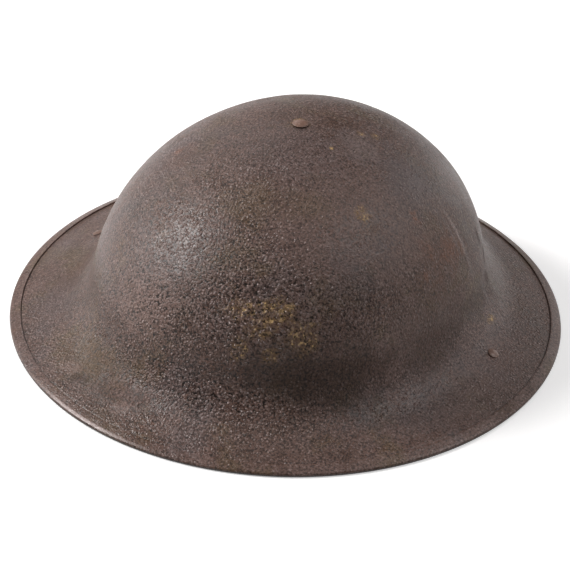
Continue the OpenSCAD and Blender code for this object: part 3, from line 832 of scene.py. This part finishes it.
def makeCrownPad(sizes):
    radius, hole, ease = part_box("crown_pad")[1].x, sizes["padHole"], 0.6 * mm
    face = [(radius * share, 1) for share in (0.3, 0.45, 0.6, 0.75, 0.87, 0.94)]
    profile = [(hole, 0.1), (hole, 0.9), (hole + ease, 1), *face]
    profile += [(radius * 0.98, 0.9), (radius, 0.68), (radius, 0.32), (radius * 0.98, 0.1)]
    profile += [(reach, 0) for reach, _ in reversed(face)] + [(hole + ease, 0), (hole, 0.1)]
    pad = loftRings("crownPad", [(reach, reach, share) for reach, share in profile], 72)
    drop = shellSizes["wall"] + sizes["seatGap"]
    roof = [half - drop for half in shellSizes["bowlHalf"]]
    for vertex in pad.data.vertices:
        x, y, share = vertex.co
        top = shellSizes["bowlBase"] + domeRise(x, y, roof, bowlRise - drop)
        low = strapBase + domeRise(x, y, strapHigh, strapRise) + sizes["seatGap"]
        lump = 1 + 0.012 * noise.noise(Vector((x, y, 0)) * 160)
        vertex.co = (x * lump, y * lump, low + share * (top - low))
    mendFaces(pad, 0.01 * mm)
    smooth(pad)
    return pad


def makeCrownStrap(name, sizes, alongX, rise):
    # stations run from one sewn end over the crown to the other: out from the middle, height, dome or lap
    along, across = (strapHigh.x, strapHigh.y) if alongX else (strapHigh.y, strapHigh.x)
    stations = []
    for i in range(6):
        z = strapBase - sizes["strapLap"] * (1 - i / 5)
        stations.append((bandHalf(z)[0 if alongX else 1] + sizes["strapThick"] + 0.1 * mm, z, False))
    lap = stations[-1][0] - along
    for i in range(1, 31):
        angle = radians(3 * i)
        ease = max(0, 1 - i / 7) ** 2
        stations.append(((along + lap * ease) * cos(angle), strapBase + rise * sin(angle), True))
    half = len(stations) - 1
    strap = addObject(name, bpy.ops.mesh.primitive_grid_add, x_subdivisions=2 * half, y_subdivisions=6, size=2)
    for vertex in strap.data.vertices:
        side = 1 if vertex.co.x >= 0 else -1
        out, z, onDome = stations[min(half, round((1 - abs(vertex.co.x)) * half))]
        aside = vertex.co.y * sizes["strapWidth"] / 2
        share = sqrt(1 - (aside / across) ** 2)
        height = strapBase + (z - strapBase) * share if onDome else z
        wrinkle = 0.12 * mm * noise.noise(Vector((out * side * 70, aside * 90, z * 70 + rise * 50)))
        place = Vector((side * (out * share + wrinkle), aside, height + wrinkle))
        vertex.co = place if alongX else Vector((-place.y, place.x, place.z))
    faceUp(strap, lambda centre: centre.z > strapBase + rise * 0.9)
    addModifier(strap, "SOLIDIFY", thickness=sizes["strapThick"], offset=-1)
    easeEdges(strap, 0.3 * mm, 60)
    smooth(strap, 50)
    return strap


def makeHeadBand(sizes):
    low, high, thick, hem, ease = bandLow.z, bandHigh.z, sizes["bandThick"], 1.4 * mm, Vector((0.45, 0.3)) * mm
    drops = [hem + (high - low - 2 * hem) * i / 7 for i in range(8)]
    section = [(0, high - drop) for drop in drops]
    section += [(ease.x, low + ease.y), (thick / 2, low), (thick - ease.x, low + ease.y)]
    section += [(thick, low + drop) for drop in drops]
    section += [(thick - ease.x, high - ease.y), (thick / 2, high), (ease.x, high - ease.y), section[0]]
    band = loftRings("headBand", [(*bandHalf(z, inset), z) for inset, z in section], 240)
    mendFaces(band, 0.01 * mm)
    for vertex in band.data.vertices:
        x, y, z = vertex.co
        crease = noise.noise(Vector((x * 95, y * 95, z * 22))) + 0.5 * noise.noise(Vector((x * 260, y * 260, z * 60)))
        vertex.co.xy *= 1 + 0.22 * mm * crease / vertex.co.xy.length
    smooth(band)
    return band


def ovalAlong(half, turn):
    # heading along an oval
    return Vector((-half.x * sin(turn), half.y * cos(turn), 0)).normalized()


def stitchPlace(half, turn, z, upright=False):
    # a frame on the inside of the band: x along the stitch, z up the face
    along, up = ovalAlong(half, turn), Vector((0, 0, 1))
    axes = (up, along.cross(up), -along) if upright else (along, up.cross(along), up)
    return axesAt(axes, (half.x * cos(turn), half.y * sin(turn), z))


def bandStitches(sizes):
    places = []
    for z in (bandLow.z + sizes["seam"], bandHigh.z - sizes["seam"]):
        half = bandHalf(z, sizes["bandThick"])
        lap = pi * (half.x + half.y)
        count = round(lap / sizes["stitchPitch"])
        turn = 0
        for i in range(count):
            places.append(stitchPlace(half, turn, z))
            turn += lap / count / hypot(half.x * sin(turn), half.y * cos(turn))
    # the straps' ends are sewn through the band in three rows
    top = bandHigh.z - sizes["seam"] - 1 * mm
    for quarter in range(4):
        reach = bandHalf(top, sizes["bandThick"])[1 - quarter % 2]
        for i in range(9):
            for upright, aside, drop in ((True, -9, 1.4 * i), (True, 9, 1.4 * i), (False, -9 + 2.25 * i, 12.6)):
                z = top - drop * mm
                turn = quarter * pi / 2 + asin(aside * mm / reach)
                places.append(stitchPlace(bandHalf(z, sizes["bandThick"]), turn, z, upright))
    return copyMany("bandStitches", addBead(6, 4, sizes["stitch"] / 2, 0.32 * mm, 0.32 * mm), places)


crownPad = makeCrownPad(linerSizes)
finishPiece(crownPad, "felt", feltCloth, "crown_pad")
for strapName, alongX, drop in (("crownStrapAcross", True, 0), ("crownStrapLong", False, linerSizes["strapStep"])):
    crownStrap = makeCrownStrap(strapName, linerSizes, alongX, strapRise - drop)
    finishPiece(crownStrap, "canvas", canvas, "crown_straps")
finishPiece(makeHeadBand(linerSizes), "oilcloth", oilcloth, "head_band")
finishPiece(bandStitches(linerSizes), "twine", thread)
for number in range(1, 13):
    node = "rubber_buffer_" + str(number)
    finishPiece(copyNode("rubberBuffer" + str(number), node, 0.5 * mm), "rubber", rubber, node)
print("pad, straps, head band and buffers made")


netSizes = {
    "cords": 28,                # cords that lean each way
    "knotRows": 7,
    "cord": 1.5 * mm,
    "depth": 0.8 * mm,
    "sag": 0.35 * mm,
    "grading": 1.2,             # above 1 the meshes close up towards the mouth
    "steps": 5,                 # between knots
    "whipping": 168,            # points along the lower edge
    "drawcord": 3 * mm,
    "plies": 3,
    "plyTurns": 26,
    "bowCord": 0.85 * mm,
    "bowReach": 6.5 * mm,
}
netLow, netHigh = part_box("net")
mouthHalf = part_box("drawstring")[1]
# where the open mouth starts on the net's dome, and the dome's full height if it were closed
netFirst = asin((mouthHalf.x + 0.3 * mm) / netHigh.x)
netRise = (netHigh.z - netLow.z) / cos(netFirst)


def netPoint(sizes, share, turn, lift=0):
    # share runs from 0 at the mouth to 1 at the lower edge
    depth = sizes["depth"] - lift
    fall = netFirst + (pi / 2 - netFirst) * share ** sizes["grading"]
    return Vector(((netHigh.x - depth) * sin(fall) * cos(turn),
                   (netHigh.y - depth) * sin(fall) * sin(turn),
                   netLow.z + (netRise - depth) * cos(fall)))


def makeNetCords(sizes):
    paths = []
    rows, sag = sizes["knotRows"], sizes["sag"]
    count = rows * sizes["steps"]
    for hand in (-1, 1):
        for i in range(sizes["cords"]):
            path = []
            for k in range(count + 1):
                share = k / count
                turn = 2 * pi / sizes["cords"] * (i + hand * share * rows / 2)
                slack = sin(pi * share * rows) ** 2
                path.append(netPoint(sizes, share, turn, hand * sag) - Vector((0, 0, slack * sag)))
            paths.append(path)
    return makeCords("netCords", paths, sizes["cord"] / 2)


def makeNetKnots(sizes):
    places = []
    for row in range(1, sizes["knotRows"]):
        share = row / sizes["knotRows"]
        for i in range(sizes["cords"]):
            turn = 2 * pi / sizes["cords"] * (i + row / 2)
            place = netPoint(sizes, share, turn)
            outward = (netPoint(sizes, share, turn, 1 * mm) - place).normalized()
            side = (netPoint(sizes, share, turn + 0.02) - place).normalized()
            places.append(axesAt((side, outward.cross(side).normalized(), outward), place))
    return copyMany("netKnots", addBead(8, 5, 1.5 * mm, 1.2 * mm, 1.15 * mm), places)


def makeEdgeCord(sizes):
    # the net's lower edge, whipped to the head band with short stitches
    count = sizes["whipping"]
    edge = [netPoint(sizes, 1, 2 * pi * i / count) + Vector((0, 0, 0.3 * mm * sin(i * 2.1)))
            for i in range(count)]
    return makeCords("netEdge", [edge], sizes["cord"] / 2, True)


def cordRing(turn, out=0, up=0):
    radius = netSizes["drawcord"] / 2
    return Vector(((mouthHalf.x - radius + out) * cos(turn), (mouthHalf.y - radius + out) * sin(turn),
                   mouthHalf.z - radius + up))


def makeMouthLoops(sizes):
    places = []
    for i in range(sizes["cords"]):
        turn = 2 * pi * i / sizes["cords"]
        along, up = ovalAlong(mouthHalf, turn), Vector((0, 0, 1))
        places.append(axesAt((up, up.cross(along), along), cordRing(turn)))
    ring = addObject("ring", bpy.ops.mesh.primitive_torus_add, major_segments=10, minor_segments=5,
                     major_radius=2 * mm, minor_radius=0.6 * mm)
    return copyMany("mouthLoops", ring, places)


def makeDrawstring(sizes):
    ply = sizes["drawcord"] * 0.27
    reach = sizes["drawcord"] / 2 - ply
    count = sizes["plyTurns"] * 12
    paths = []
    for k in range(sizes["plies"]):
        path = []
        for i in range(count):
            twist = 2 * pi * (sizes["plyTurns"] * i / count + k / sizes["plies"])
            path.append(cordRing(2 * pi * i / count, reach * cos(twist), reach * sin(twist)))
        paths.append(path)
    return makeCords("drawstringCord", paths, ply, True)


def makeBow(sizes):
    # a small knot at the back of the mouth, with two loops and two tails that hang in
    knot = cordRing(-pi / 2) + Vector((0, -0.2, -0.4)) * mm
    paths = []
    for side in (-1, 1):
        loop = []
        for i in range(25):
            angle = 2 * pi * i / 24
            reach = sizes["bowReach"] * (1 - cos(angle)) / 2
            swell = Vector((0, 1 + 1.8 * sin(angle), -0.8 * sin(angle))) * mm
            loop.append(knot + swell + Vector((side, 0.25, -0.35)) * reach)
        paths.append(loop)
        paths.append([knot + Vector((side * (0.6 + 2.6 * t), 0.8 + 2.4 * t, -9 * t ** 1.3)) * mm
                      for t in (i / 10 for i in range(11))])
    # turns of the knot round the cord
    for lean in (-0.8, 0.8):
        paths.append([knot + Vector((lean + 0.5 * sin(2 * a), 2.1 * cos(a), 2.1 * sin(a))) * mm
                      for a in (2 * pi * i / 16 for i in range(17))])
    return makeCords("drawstringBow", paths, sizes["bowCord"])


finishPiece(makeNetCords(netSizes), "twine", twine, "net")
for makeTwinePiece in (makeNetKnots, makeEdgeCord, makeMouthLoops):
    finishPiece(makeTwinePiece(netSizes), "twine", twine)
finishPiece(makeDrawstring(netSizes), "drawcord", drawcord, "drawstring")
finishPiece(makeBow(netSizes), "drawcord", drawcord)
print("net and drawstring made")


# Rivets, brackets, bails, straps and buckle

bracketSteel = makePlainPaint("bracketSteel", (88, 78, 70), (62, 52, 44), (128, 120, 112), 0.5, 0.5)
bailWire = makePlainPaint("bailWire", (92, 84, 76), (64, 54, 46), (140, 132, 124), 0.5, 0.42)
buckleSteel = makePlainPaint("buckleSteel", (128, 120, 104), (92, 82, 66), (160, 152, 138), 0.35, 0.4)
brass = makePlainPaint("brass", (150, 122, 74), (98, 78, 48), (184, 160, 110), 0.1, 0.38)
leather = makeHideMaterial("leather", (122, 82, 50), (78, 50, 32), (56, 35, 23), 1100, 0.6, 0.52, 0.13 * mm)

# piece, node, body, slot, material, eased edge in millimetres; a star stands for left and then for right
hardware = [
    ("crownRivet", "crown_rivet", "helmet", "rivet_steel", rivetPaint, 0.15),
    ("*SideRivet", "*_bracket_rivet", "helmet", "rivet_steel", rivetPaint, 0.12),
    ("crownWasher", "crown_washer", "helmet", "bare_steel", bareSteel, 0.25),
    ("*Bracket", "*_bracket", "helmet", "bracket_steel", bracketSteel, 0.18),
    ("*Bail", "*_bail", "*_bail", "bail_wire", bailWire, 0.1),
    ("*StrapRivet", "*_strap_rivet", "*_strap", "strap_rivet_brass", brass, 0.3),
    ("buckleRivet", "buckle_rivet", "left_strap", "strap_rivet_brass", brass, 0.3),
    ("slideBuckle", "slide_buckle", "buckle", "buckle_steel", buckleSteel, 0.1),
]
for *names, slotName, material, ease in hardware:
    for side in ("left", "right") if "*" in names[0] else ("",):
        name, node, body = (text.replace("*", side) for text in names)
        finishPiece(copyNode(name, node, ease * mm), slotName, material, node, body=body)


# Chinstrap leather: each strap is one ribbon, turned back round its bars and riveted to itself

strapSizes = {
    "width": 19 * mm,
    "thick": 2.2 * mm,
    "turnBack": 20 * mm,
    "loopSlope": 40,            # degrees of the turned-back end where it comes down
    "bendLength": 30 * mm,
    "bailBore": 1.55 * mm,
    "buckleBore": 1.05 * mm,
    "buckleDrop": 0.5 * mm,     # the buckle's bar lies lower than the bail's
    "tip": 9 * mm,
    "step": 2.5 * mm,
}
# name, node, side, length, bend in degrees, and whether it ends round the buckle's bar
straps = [
    ("leftStrap", "left_strap", 1, 75 * mm, 12, True),
    ("rightStrap", "right_strap", -1, 150 * mm, -18, False),
]


def loopStations(sizes, bore):
    # round one bar, from the turned-back end to the lower layer: (along, up) from the bar's middle
    middle = bore + sizes["thick"] / 2
    slope = radians(sizes["loopSlope"])
    upper = -bore + sizes["thick"] / 2 + 0.04 * mm
    foot = middle * sin(slope) + (middle * cos(slope) - upper) / tan(slope)
    count = round((sizes["turnBack"] - foot) / sizes["step"])
    run = foot + 0.6 * mm - sizes["turnBack"]
    stations = [(sizes["turnBack"] + run * i / count, upper) for i in range(count + 1)]
    stations.append((foot - 0.5 * mm, upper + 0.35 * mm))
    for i in range(15):
        angle = slope - (pi + slope) * i / 14
        stations.append((middle * sin(angle), middle * cos(angle)))
    return stations


def runStation(sizes, along, turn):
    # middle and heading of the flat run, which bends aside and then goes straight on
    past = along - sizes["turnBack"]
    bend = radians(turn) * limit(past / sizes["bendLength"])
    radius = sizes["bendLength"] / radians(turn)
    rest = max(past - sizes["bendLength"], 0)
    return (min(along, sizes["turnBack"]) + radius * sin(bend) + rest * cos(bend),
            radius * (1 - cos(bend)) + rest * sin(bend), bend)


def makeStrap(name, sizes, bar, side, length, turn, buckled):
    low = -sizes["bailBore"] - sizes["thick"] / 2
    stations = [(x, 0, up, 0, 1) for x, up in loopStations(sizes, sizes["bailBore"])]
    end = length - (0 if buckled else 0.2 * mm)
    count = round(end / sizes["step"])
    for i in range(1, count + (0 if buckled else 1)):
        x, y, bend = runStation(sizes, end * i / count, turn)
        left = length - end * i / count
        stations.append((x, y, low, bend, 1 if buckled else min(1, 0.06 + left / sizes["tip"])))
    if buckled:
        x, y, bend = runStation(sizes, length, turn)
        for back, up in reversed(loopStations(sizes, sizes["buckleBore"])):
            stations.append((x - back * cos(bend), y - back * sin(bend), up - sizes["buckleDrop"], bend, 1))
    last = len(stations) - 1
    strap = addObject(name, bpy.ops.mesh.primitive_grid_add, x_subdivisions=last, y_subdivisions=6, size=2)
    for vertex in strap.data.vertices:
        x, y, up, bend, wide = stations[min(last, round((vertex.co.x + 1) / 2 * last))]
        aside = vertex.co.y * sizes["width"] / 2 * wide
        vertex.co = bar + Vector(((x - aside * sin(bend)) * side, y + aside * cos(bend), up))
    addModifier(strap, "SOLIDIFY", thickness=sizes["thick"], offset=0)
    mendFaces(strap)
    easeEdges(strap, 0.5 * mm, 60, 3)
    smooth(strap, 50)
    return strap


loopReach = strapSizes["bailBore"] + strapSizes["thick"]
for name, node, side, length, turn, buckled in straps:
    low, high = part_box(node)
    bar = Vector(((low if side > 0 else high).x + side * loopReach, 0, low.z + loopReach))
    strap = makeStrap(name, strapSizes, bar, side, length, turn, buckled)
    finishPiece(strap, "strap_leather", leather, node, body=node)
print("rivets, brackets, bails, straps and buckle made")


# Floor, light and background

def makeFloor():
    floor = addObject("floor", bpy.ops.mesh.primitive_plane_add, size=12)
    material, place = startMaterial("paleFloor")
    # seen directly, the floor is lifted to white and keeps the helmet's soft shadow
    path = addNode("ShaderNodeLightPath", {}, material.node_tree)
    lift = remap(measure(place), 0.35, 1.4, 0.42, 1)
    seen = calc("MAXIMUM", path["Is Camera Ray"] * lift, path["Is Glossy Ray"] * 0.27)
    setShader(material, {"Base Color": (0.86, 0.86, 0.86, 1), "Roughness": 0.9,
                         "Emission Color": (1, 1, 1, 1), "Emission Strength": seen})
    floor.data.materials.append(material)


def makeWorld(lightLevel):
    world = bpy.data.worlds.new("studio")
    scene.world = world
    world.use_nodes = True
    path = addNode("ShaderNodeLightPath", {}, world.node_tree)
    level = remap(calc("MAXIMUM", path["Is Camera Ray"], path["Is Transmission Ray"]), 0, 1, lightLevel, 1)
    setInputs(world.node_tree.nodes["Background"], {"Strength": level, "Color": (1, 1, 1, 1)})


# name, place, size, watts and colour; each lamp looks at the helmet's middle
lamps = [
    ("keySoftbox", (-1.08, -0.393, 1.014), 0.36, 19.5, (1, 0.98, 0.97)),
    ("lowSoftbox", (-1.467, 0, 0.362), 0.9, 5, (1, 0.96, 0.94)),
    ("highSoftbox", (-0.919, 0.919, 0.8), 0.9, 2.7, (1, 1, 1)),
    ("topSoftbox", (0, 0, 1.55), 0.9, 1.4, (1, 1, 1)),
    ("rightSoftbox", (0.881, 0.392, 1.199), 0.9, 7, (1, 0.97, 0.97)),
    ("rightFill", (1.288, 0.573, 0.563), 0.9, 0.8, (1, 1, 1)),
    ("backSoftbox", (0.495, 1.361, 0.438), 0.9, 2.9, (1, 0.97, 0.96)),
]
lampAim = Vector((0, 0, 0.05))


def makeLamp(name, place, size, watts, colour):
    lamp = addObject(name, bpy.ops.object.light_add, type="AREA", location=place)
    lamp.data.shape = "SQUARE"
    lamp.data.size = size
    lamp.data.energy = watts
    lamp.data.color = colour
    lamp.rotation_euler = (lampAim - Vector(place)).to_track_quat("-Z", "Y").to_euler()


makeFloor()
makeWorld(0.01)
for lampFacts in lamps:
    makeLamp(*lampFacts)
print("floor and light made")
